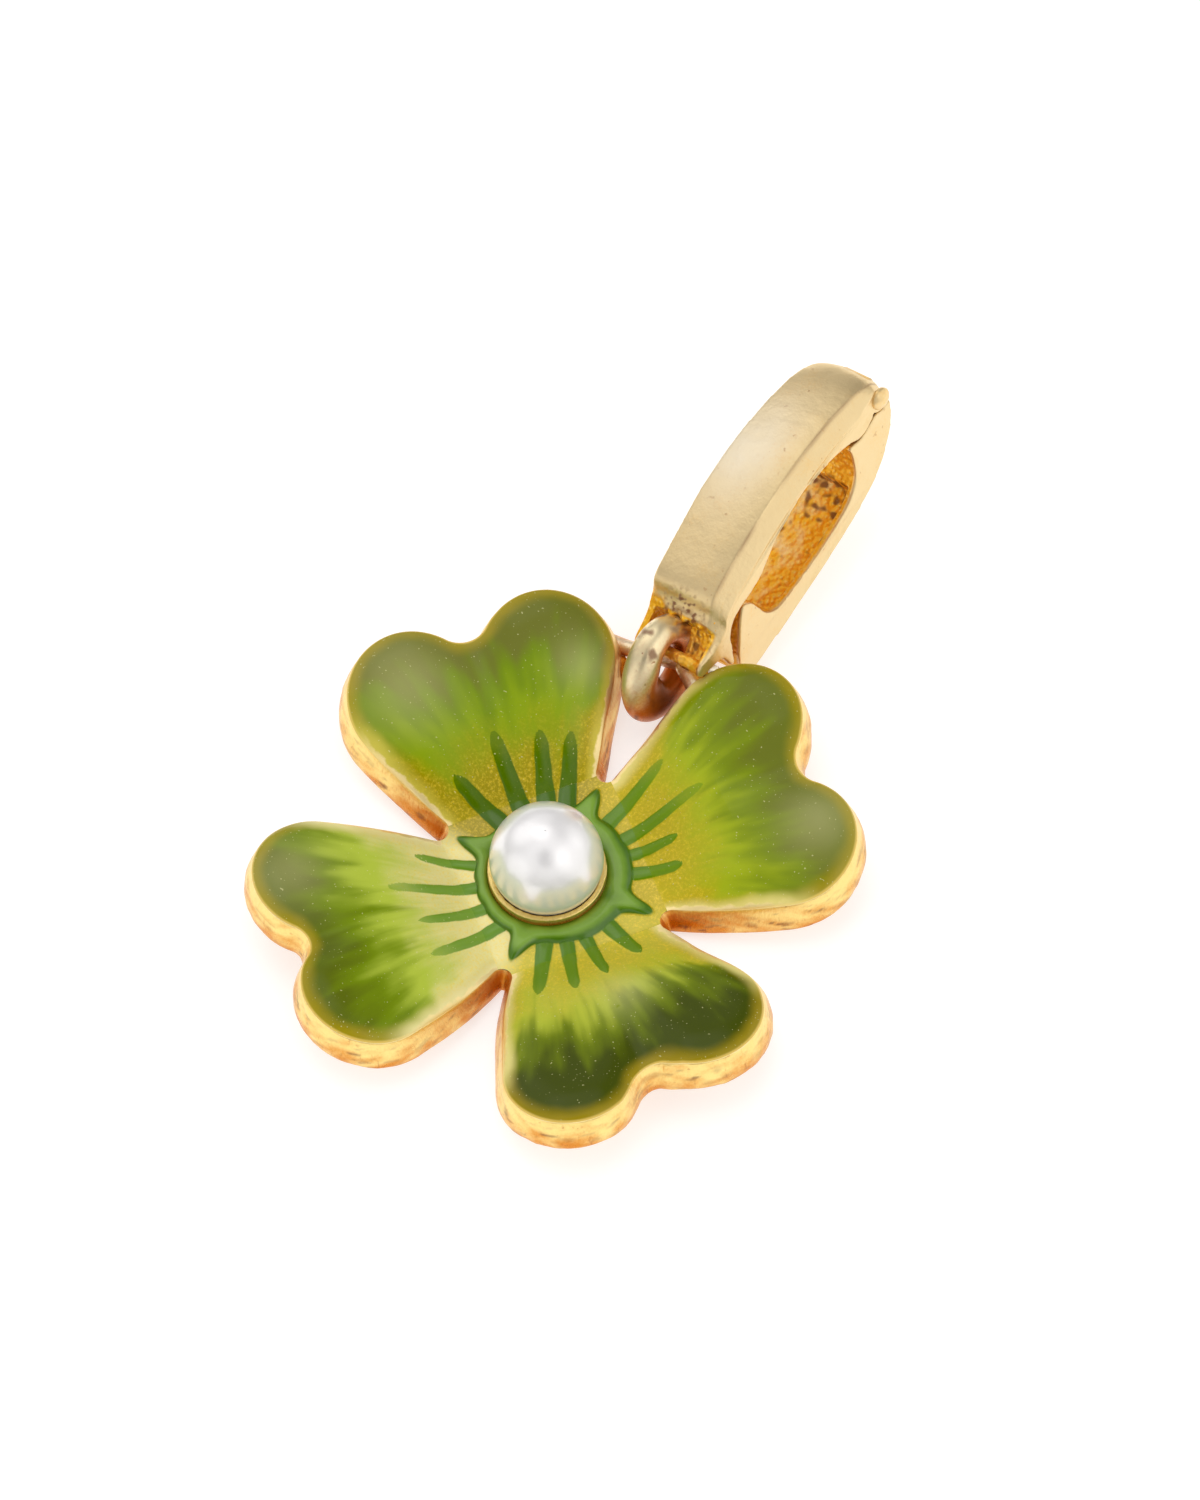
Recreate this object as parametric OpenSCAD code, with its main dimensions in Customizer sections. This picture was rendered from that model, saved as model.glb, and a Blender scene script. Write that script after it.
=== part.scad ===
// Four leaf clover pendant: a cast and enamelled flower with a pearl in a cup, hung by a jump ring
// from a bail that opens at the back. It lies face up, with the middle of its back at the origin.

/* [Leaves] */
// Distance from the middle of the flower to the middle of a lobe, measured along its leaf
lobe_reach = 9.85; // [9.4:0.05:10.6]
// Distance from the line down a leaf to the middle of each of its two lobes
lobe_spread = 3.0; // [2.8:0.05:3.2]
// Radius of a lobe
lobe_r = 2.95; // [2.7:0.05:3.1]
// Radius of the notch between the two lobes
notch_r = 1.2; // [0.9:0.05:1.8]
// Radius of the long arc down each side of a leaf
side_r = 28; // [20:1:60]
// Distance from the middle of the flower to the middle of the round between two leaves
crotch_reach = 5.6; // [5.2:0.05:6]
// Radius of the round between two leaves
crotch_r = 0.5; // [0.45:0.05:0.7]
// Small uneven turns of the four leaves about the middle of the flower
leaf_turns = [-0.8, -1.4, 1, -1.2];
// Angle at which the face of a leaf rises to its tip
face_pitch = 15.6; // [8:0.2:20]
// Angle at which the back of a leaf rises to its tip
back_pitch = 12.4; // [6:0.2:15]
// Thickness of the casting at the middle, from its back to the rim
hub_t = 1.45; // [1.2:0.05:2]
// How far the foot of the wall stands out past its rim
wall_draft = 0.4; // [0.1:0.05:0.42]
// Width of the bare gold rim
rim_w = 0.32; // [0.2:0.02:0.6]
// Depth of the pocket that holds the enamel
pocket_depth = 0.65; // [0.4:0.05:0.8]
// Diameter of the flat pad at the middle of the back
pad_d = 7.6; // [6:0.2:7.8]
// Height of that pad
pad_h = 0.1; // [0.06:0.01:0.15]

/* [Enamel] */
// Height of an enamelled leaf above its rim
dome_h = 0.6; // [0.2:0.05:0.9]
// Depth of the fold that runs in from the notch
fold_depth = 0.45; // [0:0.05:0.5]
// Distance over which the fold deepens
fold_run = 3; // [2:0.25:4]
// Width of the fold on each side of its bottom
fold_w = 1; // [0.6:0.1:1.4]
// Height of the raised ring of enamel round the cup, above the enamel about it
pool_h = 0.3; // [0.1:0.05:0.5]
// Width of that ring
pool_w = 0.8; // [0.5:0.05:1]

/* [Pearl] */
// Diameter of the pearl
pearl_d = 5; // [4.5:0.1:5.2]
// Thickness of the metal under the pearl
cup_base = 0.4; // [0.3:0.05:0.6]
// How far the rim of the cup lies below the middle of the pearl
cup_below = 0.9; // [0.7:0.05:1.1]
// Thickness of the lip of the cup
cup_lip = 0.22; // [0.15:0.01:0.35]
// How far the soldered cup sits off the middle, to the left
cup_left = 0.28; // [0:0.02:0.4]
// How far the soldered cup sits off the middle, away from the ring
cup_down = 0.1; // [0:0.02:0.2]
// Diameter of the peg that the pearl is glued on
peg_d = 0.8; // [0.6:0.05:1]
// Height of that peg above the bottom of the cup
peg_h = 1.8; // [1.2:0.1:2.4]

/* [Ring] */
// Place on the bar between two leaves where the ring hangs, with its height last
bar_at = [0.45, 11.41, 2.34];
// Angle that the bar is turned towards the flower at its right
bar_turn = 2; // [1:0.1:3]
// Angle that the bar rises to the right
bar_rise = 15; // [14:0.1:16]
// Diameter of that bar
bar_d = 0.74; // [0.6:0.02:0.76]
// Outer diameter of the jump ring
ring_d = 5.22; // [5.1:0.02:5.3]
// Thickness of its wire
ring_wire = 1.32; // [1.2:0.02:1.34]
// Play between the ring and the bar
bar_play = 0.05; // [0.04:0.01:0.08]
// Angle that the ring leans from lying flat
ring_lean = 75.5; // [73:0.5:78]
// Angle that the ring is turned to
ring_turn = -9.9; // [-11:0.1:-9]

/* [Bail] */
// Length of the bail, from the middle of the jump ring to its top
bail_len = 16.6; // [16:0.1:17.4]
// Depth of the bail, from its face to its back
bail_depth = 6.05; // [5.8:0.05:6.4]
// Width of the bail at its widest
bail_w = 3.6; // [3.4:0.05:3.9]
// Angle that the bail rises to its top
bail_pitch = 12.7; // [12:0.1:13.4]
// Angle that the bail leans on one side
bail_roll = 15; // [14:0.5:16]
// Angle that the bail is turned to the right
bail_turn = 13.4; // [12:0.1:15]
// Thickness of the face of the front band
face_t = 0.85; // [0.6:0.05:1]
// Distance from the middle of the jump ring to the top of the slot between the two cheeks
slot_l = 3.25; // [3.22:0.02:3.4]
// Gap between those cheeks
cheek_gap = 2.8; // [2.76:0.02:2.86]
// Distance from the middle of the jump ring to the top end of the hollow behind the face
hollow_l = 12.6; // [11:0.1:13]
// Diameter of the crosspiece between the cheeks
cross_d = 0.54; // [0.48:0.02:0.56]
// Play between the ring and the crosspiece
cross_play = 0.11; // [0.08:0.01:0.12]
// How far the ring sits to the left of the middle of the crosspiece
ring_left = 0.62; // [0.58:0.01:0.64]
// Thickness of the back skin of the gate
gate_t = 0.55; // [0.4:0.05:0.8]
// Thickness of each side wall of the gate
gate_wall = 0.42; // [0.35:0.01:0.6]
// Distance from the middle of the jump ring to the channel in the gate
channel_from = 5.65; // [5.4:0.05:6]
// Length of that channel
channel_l = 6.65; // [5.5:0.05:6.8]
// Diameter of the hinge pin
pin_d = 0.56; // [0.5:0.02:0.6]
// Diameter of the hinge barrels
barrel_d = 1.24; // [1.1:0.02:1.3]
// Width over the front band's two barrels
hinge_w = 3.1; // [2.9:0.05:3.2]
// Width of the gate's middle barrel
knuckle_w = 1.3; // [1:0.05:1.6]

/* [Hidden] */
$fn = 64;
// Gap kept between pieces that lie against each other
seat_gap = 0.05;
// Clearance round the pin in the front band and in the gate
pin_seat = 0.02;
pin_run = 0.05;
gold = [0.86, 0.7, 0.4];
leaf_green = [0.42, 0.5, 0.1];
ring_green = [0.3, 0.5, 0.12];
pearl_white = [0.93, 0.92, 0.9];

// Outline of a leaf, made of arcs that keep their middles when the outline is moved in or out
steps_notch = 3;
steps_lobe = 16;
steps_side = 5;
steps_crotch = 4;
lobe_at = [lobe_reach, lobe_spread];
crotch_at = crotch_reach * [cos(45), sin(45)];
notch_at = [lobe_reach + sqrt(pow(lobe_r + notch_r, 2) - pow(lobe_spread, 2)), 0];
reach_in = side_r - lobe_r;
reach_out = side_r + crotch_r;
span = norm(crotch_at - lobe_at);
along = (crotch_at - lobe_at) / span;
foot = (reach_in * reach_in - reach_out * reach_out + span * span) / (2 * span);
side_at = lobe_at + foot * along + sqrt(reach_in * reach_in - foot * foot) * [-along[1], along[0]];

function angle_of(v) = atan2(v[1], v[0]);
function arc(at, r, from, to, n) = [for (i = [0:n]) let (a = from + (to - from) * i / n)
    at + r * [cos(a), sin(a)]];
function rest(list) = [for (i = [1:len(list) - 1]) list[i]];
function reversed(list) = [for (i = [len(list) - 1:-1:0]) list[i]];
function mirrored(list) = [for (p = list) [p[0], -p[1]]];
lobe_end = angle_of(notch_at - lobe_at);
lobe_start = angle_of(lobe_at - side_at);
crotch_end = angle_of(side_at - crotch_at) + 360;
function notch_to_neck(out, neck) = concat(
    arc(notch_at, notch_r - out, 180, lobe_end + 180, steps_notch),
    rest(arc(lobe_at, lobe_r + out, lobe_end, lobe_start, steps_lobe)),
    rest(arc(side_at, side_r + out, lobe_start, crotch_end - 180, steps_side)),
    rest(arc(crotch_at, crotch_r - out, crotch_end, neck, steps_crotch)));
function leaf_outline(out, neck) = let (half = notch_to_neck(out, neck))
    concat(reversed(mirrored(half)), rest(half));

// Height of a leaf above the middle of the flower, at a distance along the leaf
fold_x = crotch_at[0];
function rise(x, pitch) = max(0, x - fold_x) * tan(pitch);

// Place of a point of a leaf in the flower, with the leaf's uneven turn, which fades out at its sides
turn_fade = 15;
leaf_angles = [45, 135, 225, 315];
function spin(p, a) = [p[0] * cos(a) - p[1] * sin(a), p[0] * sin(a) + p[1] * cos(a), p[2]];
function placed(p, i) = let (side = 45 - abs(angle_of(p)))
    spin(p, leaf_angles[i] + leaf_turns[i] * max(0, min(1, side / turn_fade)));

// A closed ring of points round the flower, moved out, and one drawn in to where the leaves start to rise
inner_share = 0.9;
function flower_ring(out, z, pitch) = [for (i = [0:3]) for (p = leaf_outline(out, 225))
    placed([p[0], p[1], z + rise(p[0], pitch)], i)];
function fold_ring(out, z) = [for (i = [0:3]) for (p = leaf_outline(out, 225))
    let (q = p * min(inner_share, fold_x / p[0])) placed([q[0], q[1], z], i)];

// A solid skinned over a list of closed rings, closed at each end by a point
function skin_faces(rings, n) = concat(
    [for (r = [0:rings - 2]) for (i = [0:n - 1]) [r * n + i, (r + 1) * n + i, r * n + (i + 1) % n]],
    [for (r = [0:rings - 2]) for (i = [0:n - 1]) let (j = (i + 1) % n) [r * n + j, (r + 1) * n + i, (r + 1) * n + j]],
    [for (i = [0:n - 1]) [i, (i + 1) % n, rings * n]],
    [for (i = [0:n - 1]) [(rings - 1) * n + i, rings * n + 1, (rings - 1) * n + (i + 1) % n]]);
module skin(rings, first, last)
    polyhedron(concat([for (r = rings) for (p = r) p], [first, last]), skin_faces(len(rings), len(rings[0])));

// The casting: back, drafted wall, rim and pocket
floor_z = hub_t - pocket_depth;
rim_round = 0.12;
module flower() skin([
        fold_ring(wall_draft, pad_h),
        flower_ring(wall_draft, pad_h, back_pitch),
        flower_ring(rim_round, hub_t - 2 * rim_round, face_pitch),
        flower_ring(0, hub_t, face_pitch),
        flower_ring(-rim_w, hub_t, face_pitch),
        flower_ring(-rim_w, floor_z, face_pitch),
        fold_ring(-rim_w, floor_z)],
    [0, 0, pad_h], [0, 0, floor_z]);

// The bar, whose ends stop inside the walls of the two leaves beside it
bar_bite = 0.1;
function bar_end(i, side) = let (c = placed([lobe_at[0], side * lobe_at[1], 0], i) - bar_at,
    ahead = c[0] * cos(bar_turn) - c[1] * sin(bar_turn), aside = c[1] * cos(bar_turn) + c[0] * sin(bar_turn))
    (ahead - side * (sqrt(pow(lobe_r, 2) - pow(aside, 2)) - bar_bite)) / cos(bar_rise);
bar_from = bar_end(1, -1);
bar_to = bar_end(0, 1);
module bar() translate(bar_at) rotate([0, 90 - bar_rise, -bar_turn])
    translate([0, 0, bar_from]) cylinder(d = bar_d, h = bar_to - bar_from);

pearl_z = cup_base + seat_gap + pearl_d / 2;
cup_z = pearl_z - cup_below;
cup_r = sqrt(pow(pearl_d / 2 + seat_gap, 2) - pow(cup_below, 2)) + cup_lip;
module at_cup(z) translate([-cup_left, -cup_down, z]) children();

module clover_body() color(gold) {
    difference() {
        union() {
            flower();
            cylinder(d = pad_d, h = 2 * pad_h);
            at_cup(cup_base) cylinder(r = cup_r, h = cup_z - cup_base);
            bar();
        }
        at_cup(pearl_z) sphere(r = pearl_d / 2 + seat_gap);
    }
    at_cup(cup_base / 2) cylinder(d = peg_d, h = cup_base / 2 + peg_h);
}

// Enamel of one leaf, from the neck outwards, domed and folded at the notch
dome_middle = [8, 0];
dome_shares = [[1, 0], [0.93, 0.5], [0.82, 0.8], [0.62, 1], [0.3, 1]];
neck_angle = 270;
function fold(x, y) = fold_depth * exp(-pow(y / fold_w, 2)) * min(1, max(0, (x - dome_middle[0]) / fold_run));
function enamel_ring(share, z) = [for (p = leaf_outline(-rim_w - seat_gap, neck_angle))
    let (q = dome_middle + (p - dome_middle) * share, x = max(q[0], fold_x + seat_gap))
    [x, q[1], rise(x, face_pitch) + z]];
function dome_ring(share, height) = [for (p = enamel_ring(share, hub_t))
    p + [0, 0, height * (dome_h - fold(p[0], p[1]))]];
function dome_point(z) = [dome_middle[0], 0, rise(dome_middle[0], face_pitch) + z];
module leaf_enamel(i) color(leaf_green) {
    rings = concat([enamel_ring(0.5, floor_z + seat_gap), enamel_ring(1, floor_z + seat_gap)],
        [for (d = dome_shares) dome_ring(d[0], d[1])]);
    skin([for (r = rings) [for (p = r) placed(p, i)]],
        placed(dome_point(floor_z + seat_gap), i), placed(dome_point(hub_t + dome_h), i));
}

// Enamel between the leaves and the cup, with its raised ring
neck_edge = fold_x - seat_gap;
corner = arc(crotch_at, crotch_r + rim_w + seat_gap, 270, 180, 2 * steps_crotch);
pool_r = (pool_w * pool_w / 4 + pool_h * pool_h) / (2 * pool_h);
module centre_enamel() color(ring_green) difference() {
    union() {
        translate([0, 0, floor_z + seat_gap]) linear_extrude(pocket_depth - seat_gap)
            polygon([for (a = [0, 90, 180, 270]) for (p = corner)
                let (s = spin([min(p[0], neck_edge), min(p[1], neck_edge), 0], a + 45)) [s[0], s[1]]]);
        at_cup(hub_t) rotate_extrude() translate([cup_r + seat_gap + pool_w / 2, 0]) intersection() {
            translate([0, pool_h - pool_r]) circle(r = pool_r);
            translate([-pool_w / 2, -pocket_depth / 2]) square([pool_w, pocket_depth]);
        }
    }
    at_cup(0) cylinder(r = cup_r + seat_gap, h = pearl_z);
}

// Pearl with the blind hole that the peg stands in
pearl_facets = 96;
module pearl() color(pearl_white) at_cup(pearl_z) difference() {
    sphere(d = pearl_d, $fn = pearl_facets);
    translate([0, 0, -pearl_d / 2 - seat_gap]) cylinder(d = peg_d + 2 * seat_gap, h = peg_h + 2 * seat_gap);
}

// Jump ring, hung on the bar, with the bail's crosspiece through it too
bar_round = 72;
cross_round = 123.7;
ring_hole_r = ring_d / 2 - ring_wire;
function in_ring(angle, reach) = let (p = reach * [cos(angle), sin(angle)])
    spin([p[0] * cos(ring_lean), p[1], -p[0] * sin(ring_lean)], ring_turn);
ring_at = bar_at - in_ring(bar_round, ring_hole_r - bar_d / 2 - bar_play);
cross_in_ring = ring_at + in_ring(cross_round, ring_hole_r - cross_d / 2 - cross_play);
module jump_ring() color(gold) translate(ring_at) rotate([0, ring_lean, ring_turn])
    rotate_extrude() translate([(ring_d - ring_wire) / 2, 0]) circle(d = ring_wire, $fn = 40);

// Side views of the bail, as shares of its length from the ring and of its depth from the back
function on_side(p) = [p[0] * bail_len, p[1] * bail_depth];
pin_at = on_side([0.961, 0.57]);
cross_at = on_side([0.09, 0.545]);
front_face = [[0.994, 0.612], [0.97, 0.727], [0.898, 0.846], [0.783, 0.942], [0.633, 1], [0.482, 1],
    [0.349, 0.959], [0.241, 0.896], [0.202, 0.785], [0.166, 0.702], [0.133, 0.65], [0.099, 0.62],
    [0.075, 0.594], [0.065, 0.548]];
front_back = [[0.065, 0.548], [0.073, 0.509], [0.09, 0.495], [0.111, 0.484], [0.128, 0.46], [0.139, 0.413],
    [0.142, 0.355], [0.143, 0.306], [0.149, 0.269], [0.16, 0.269], [0.171, 0.344], [0.187, 0.446], [0.208, 0.519],
    [0.244, 0.595], [0.289, 0.615], [0.368, 0.628], [0.428, 0.686], [0.488, 0.747], [0.584, 0.764],
    [0.669, 0.752], [0.753, 0.678], [0.807, 0.603], [0.849, 0.516], [0.92, 0.516]];
gate_hole = [[0.92, 0.504], [0.849, 0.504], [0.802, 0.56], [0.795, 0.47], [0.771, 0.314], [0.729, 0.215],
    [0.669, 0.165], [0.542, 0.152], [0.428, 0.165], [0.361, 0.198], [0.328, 0.289], [0.319, 0.413],
    [0.31, 0.529], [0.286, 0.59], [0.264, 0.545], [0.238, 0.455], [0.217, 0.355], [0.204, 0.264],
    [0.193, 0.165], [0.188, 0.083], [0.202, 0.017], [0.235, 0]];
gate_skin = [[0.235, 0], [0.392, 0], [0.572, 0], [0.693, 0.017], [0.777, 0.041], [0.843, 0.091],
    [0.898, 0.174], [0.94, 0.264], [0.967, 0.355], [0.982, 0.43]];
knuckle_web = [[0.93, 0.42], [0.97, 0.42]];
// Half widths of the bail as shares of its width, each after its share of the length
half_widths = [[0, 0.4], [0.03, 0.46], [0.15, 0.47], [0.3, 0.485], [0.5, 0.5], [0.7, 0.49], [0.9, 0.455],
    [0.97, 0.43], [1, 0.36]];

// A smooth curve through a list of points
curve_steps = 3;
function curve(p) = [for (i = [0:len(p) - 2]) for (k = [0:(i == len(p) - 2 ? curve_steps : curve_steps - 1)])
    let (t = k / curve_steps, a = p[max(i - 1, 0)], b = p[i], c = p[i + 1], d = p[min(i + 2, len(p) - 1)])
    (2 * b + (c - a) * t + (2 * a - 5 * b + 4 * c - d) * t * t + (3 * b - a - 3 * c + d) * t * t * t) / 2];
function side_curve(table) = curve([for (p = table) on_side(p)]);

// The bail's own frame: x across it, y along it from its foot, z from its back to its face
module in_bail() translate(cross_in_ring) rotate([bail_pitch, -bail_roll, -bail_turn])
    translate([ring_left, -cross_at[0], -cross_at[1]]) children();
module side_slab(points, w) rotate([90, 0, 90]) linear_extrude(w, center = true) polygon(points);
module across(at, d, w) translate([0, at[0], at[1]]) rotate([0, 90, 0]) cylinder(d = d, h = w, center = true);
module face_view() linear_extrude(4 * bail_depth, center = true) {
    half = curve([for (p = half_widths) [p[0] * bail_len, p[1] * bail_w]]);
    polygon(concat([for (p = half) [p[1], p[0]]], [for (p = reversed(half)) [-p[1], p[0]]]));
}

// Front band: hollow behind its face, with two cheeks and a crosspiece at its foot
module bail_front() color(gold) in_bail() {
    difference() {
        intersection() {
            union() {
                side_slab(concat(side_curve(front_face), rest(side_curve(front_back))), bail_w);
                across(pin_at, barrel_d, hinge_w);
            }
            face_view();
        }
        translate([-cheek_gap / 2, -bail_len, -bail_depth]) cube([cheek_gap, bail_len + slot_l, 3 * bail_depth]);
        intersection() {
            translate([0, 0, -face_t]) side_slab(concat(side_curve(front_face),
                [[0, -bail_depth], [bail_len, -bail_depth]]), cheek_gap);
            translate([-bail_w, 0, 0]) cube([2 * bail_w, hollow_l, bail_depth]);
        }
        across(pin_at, barrel_d + 2 * seat_gap, knuckle_w + 2 * seat_gap);
        across(pin_at, pin_d + 2 * pin_seat, 2 * bail_w);
    }
    across(cross_at, cross_d, cheek_gap + 2 * seat_gap);
}

// Gate: a channel with a rounded tongue at its foot and a barrel between those of the front band
module bail_gate() color(gold) in_bail() difference() {
    union() {
        difference() {
            intersection() {
                side_slab(concat(side_curve(gate_hole), rest(side_curve(gate_skin))), bail_w);
                face_view();
            }
            across(pin_at, barrel_d + 4 * seat_gap, 2 * bail_w);
            intersection() {
                translate([0, 0, gate_t]) side_slab(concat(side_curve(gate_skin),
                    [[bail_len, bail_depth], [0, bail_depth]]), bail_w - 2 * gate_wall);
                translate([-bail_w, channel_from, 0]) cube([2 * bail_w, channel_l, bail_depth]);
            }
        }
        across(pin_at, barrel_d, knuckle_w);
        intersection() {
            side_slab([pin_at, on_side(knuckle_web[0]), on_side(knuckle_web[1])], knuckle_w);
            face_view();
        }
    }
    across(pin_at, pin_d + 2 * pin_run, 2 * bail_w);
}

module hinge_pin() color(gold) in_bail() across(pin_at, pin_d, hinge_w);

clover_body();
leaf_enamel(0);  // leaf_enamel_1
leaf_enamel(1);  // leaf_enamel_2
leaf_enamel(2);  // leaf_enamel_3
leaf_enamel(3);  // leaf_enamel_4
centre_enamel();
pearl();
jump_ring();
bail_front();
bail_gate();
hinge_pin();
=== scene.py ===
import math

import bmesh
import bpy
import numpy as np
from mathutils import Matrix, Vector, kdtree, noise


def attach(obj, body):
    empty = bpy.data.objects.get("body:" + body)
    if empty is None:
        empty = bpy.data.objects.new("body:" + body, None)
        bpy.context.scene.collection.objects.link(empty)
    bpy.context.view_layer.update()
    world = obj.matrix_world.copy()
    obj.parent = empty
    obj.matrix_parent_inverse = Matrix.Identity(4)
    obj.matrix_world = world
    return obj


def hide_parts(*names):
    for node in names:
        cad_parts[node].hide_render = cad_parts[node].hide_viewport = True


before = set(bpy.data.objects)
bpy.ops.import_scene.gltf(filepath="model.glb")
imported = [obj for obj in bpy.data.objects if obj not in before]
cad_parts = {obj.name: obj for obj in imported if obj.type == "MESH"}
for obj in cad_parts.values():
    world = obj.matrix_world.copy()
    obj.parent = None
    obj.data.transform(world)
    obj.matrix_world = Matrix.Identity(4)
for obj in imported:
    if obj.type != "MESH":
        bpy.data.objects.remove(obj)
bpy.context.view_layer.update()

# Camera
# A long lens looks down on the pendant from its lower edge, far enough off to keep it free of perspective.
# Lengths in this file are in millimetres, and MM turns them into metres.
MM = 0.001
toward_camera = Vector((0.21685, -0.43838, 0.87224))
frame_right = Vector((0.91295, 0.40746, -0.02219))
frame_up = Vector((-0.34568, 0.80112, 0.48857))
camera_distance = 900
frame_height = 65.45
aim = 1.968 * frame_right + 6.174 * frame_up
lens = bpy.data.cameras.new("camera")
lens.sensor_width = 36
lens.lens = lens.sensor_width * camera_distance / frame_height
camera = bpy.data.objects.new("camera", lens)
camera.matrix_world = (Matrix.Translation((aim + camera_distance * toward_camera) * MM)
                       @ Matrix((frame_right, frame_up, toward_camera)).transposed().to_4x4())
bpy.context.scene.collection.objects.link(camera)
bpy.context.scene.camera = camera
bpy.context.scene.view_settings.view_transform = "Standard"


# Table and light
# A white acrylic sheet, lit from below, under a tent of white cloth with three soft lamps outside it.
class Shade:
    """A socket in a material. Sums with it add Math nodes, and node() adds any other node."""

    def __init__(self, tree, socket=None):
        self.tree = tree
        self.socket = socket

    def node(self, kind, settings, values, out=0):
        made = self.tree.nodes.new(kind)
        for name, value in settings.items():
            setattr(made, name, value)
        for name, value in values.items():
            if isinstance(value, Shade):
                self.tree.links.new(value.socket, made.inputs[name])
            else:
                made.inputs[name].default_value = value
        return Shade(self.tree, made.outputs[out] if made.outputs else None)

    def maths(self, operation, *values):
        return self.node("ShaderNodeMath", {"operation": operation}, dict(enumerate(values)))

    def __add__(self, other):
        return self.maths("ADD", self, other)

    def __sub__(self, other):
        return self.maths("SUBTRACT", self, other)

    def __rsub__(self, other):
        return self.maths("SUBTRACT", other, self)

    def __mul__(self, other):
        return self.maths("MULTIPLY", self, other)

    __radd__ = __add__
    __rmul__ = __mul__


def start_material(name):
    material = bpy.data.materials.new(name)
    material.use_nodes = True
    material.node_tree.nodes.clear()
    return material, Shade(material.node_tree)


def finish_material(shade, values):
    shader = shade.node("ShaderNodeBsdfPrincipled", {}, values)
    shade.node("ShaderNodeOutputMaterial", {}, {"Surface": shader})


def paint(red, green, blue):
    """A colour as it is read off a screen, turned into the light that it gives back."""
    levels = [c / 255 for c in (red, green, blue)]
    return tuple(c / 12.92 if c < 0.04045 else ((c + 0.055) / 1.055) ** 2.4 for c in levels)


def between(shade, low, high, value):
    """0 below low and 1 above high, with a soft step between them."""
    return shade.node("ShaderNodeMapRange", {"interpolation_type": "SMOOTHSTEP"},
                      {0: value, 1: low, 2: high, 3: 0.0, 4: 1.0})


def mixed(shade, under, over, share):
    """One colour laid over another, with a share from 0 to 1."""
    under, over = [c if isinstance(c, Shade) else (*c, 1) for c in (under, over)]
    return shade.node("ShaderNodeMix", {"data_type": "RGBA"}, {0: share, 6: under, 7: over}, out=2)


def grain(shade, place, size, detail=2.0, rough=0.5, stretch=(1, 1, 1)):
    """Soft noise from 0 to 1 whose blotches are as wide as size, in millimetres."""
    scaled = shade.node("ShaderNodeVectorMath", {"operation": "MULTIPLY"},
                        {0: place, 1: tuple(s / size for s in stretch)})
    return shade.node("ShaderNodeTexNoise", {},
                      {"Vector": scaled, "Scale": 1.0, "Detail": detail, "Roughness": rough})


def millimetres(shade):
    """The place of a point of the surface, in millimetres."""
    place = shade.node("ShaderNodeTexCoord", {}, {}, out=3)
    return shade.node("ShaderNodeVectorMath", {"operation": "SCALE"}, {0: place, "Scale": 1 / MM})


def attribute(shade, name, out=2):
    """What the mesh carries at its points: out is 2 for a number, 1 for a vector and 0 for a colour."""
    return shade.node("ShaderNodeAttribute", {"attribute_name": name}, {}, out=out)


def make_object(name, points, faces, material, values={}):
    """An object from points in millimetres, with the values at its points that its material reads."""
    mesh = bpy.data.meshes.new(name)
    mesh.from_pydata((np.asarray(points) * MM).tolist(), [], faces)
    for label, numbers in values.items():
        numbers = np.asarray(numbers, np.float32)
        if numbers.ndim == 2:
            mesh.attributes.new(label, "FLOAT_VECTOR", "POINT").data.foreach_set("vector", numbers.ravel())
        else:
            mesh.attributes.new(label, "FLOAT", "POINT").data.foreach_set("value", numbers)
    mesh.shade_smooth()
    mesh.materials.append(material)
    made = bpy.data.objects.new(name, mesh)
    bpy.context.scene.collection.objects.link(made)
    return made


acrylic, shade = start_material("white_acrylic")
haze = grain(shade, millimetres(shade), 3.0, detail=4.0)
finish_material(shade, {"Base Color": mixed(shade, (0.5, 0.5, 0.5), (0.52, 0.52, 0.52), haze),
                        "Roughness": 0.9, "Specular IOR Level": 0.1,
                        "Emission Color": (1.0, 0.99, 0.98, 1), "Emission Strength": 0.62})
table_half = 900
corners = [(x * table_half, y * table_half, 0) for x, y in ((-1, -1), (1, -1), (1, 1), (-1, 1))]
table = make_object("table", corners, [(0, 1, 2, 3)], acrylic)

tent = bpy.data.worlds.new("tent")
bpy.context.scene.world = tent
tent.use_nodes = True
tent.node_tree.nodes.clear()
shade = Shade(tent.node_tree)
direction = shade.node("ShaderNodeTexCoord", {}, {}, out=0)


def patch(way, inner, outer):
    """1 towards a patch of the cloth, fading to 0 between two angles from its middle."""
    towards = shade.node("ShaderNodeVectorMath", {"operation": "DOT_PRODUCT"},
                         {0: direction, 1: tuple(Vector(way).normalized())}, out=1)
    return between(shade, math.cos(math.radians(outer)), math.cos(math.radians(inner)), towards)


# Where the cloth is brighter or darker than the rest: the way there, the two angles, and by how much
patches = (((-0.28, 0.36, 0.89), 6, 22, 0.9), (toward_camera, 24, 60, 0.42), (toward_camera, 8, 24, -0.74),
           ((-0.49, 0.71, 0.51), 6, 24, 0.35), ((-0.77, 0.2, 0.6), 6, 32, 0.8),
           ((0.54, 0.74, 0.39), 6, 26, 0.5), ((0.88, 0.15, 0.42), 14, 46, 0.7),
           ((-0.6, -0.78, 0.2), 10, 36, 0.7), ((0.5, -0.25, 0.83), 6, 20, 0.5))
glow = sum((patch(way, inner, outer) * change for way, inner, outer, change in patches), 0.32)
cloth = shade.node("ShaderNodeBackground", {}, {"Color": (1.0, 0.99, 0.97, 1), "Strength": glow})
shade.node("ShaderNodeOutputWorld", {}, {"Surface": cloth})
lamp_reach = 420


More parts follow.
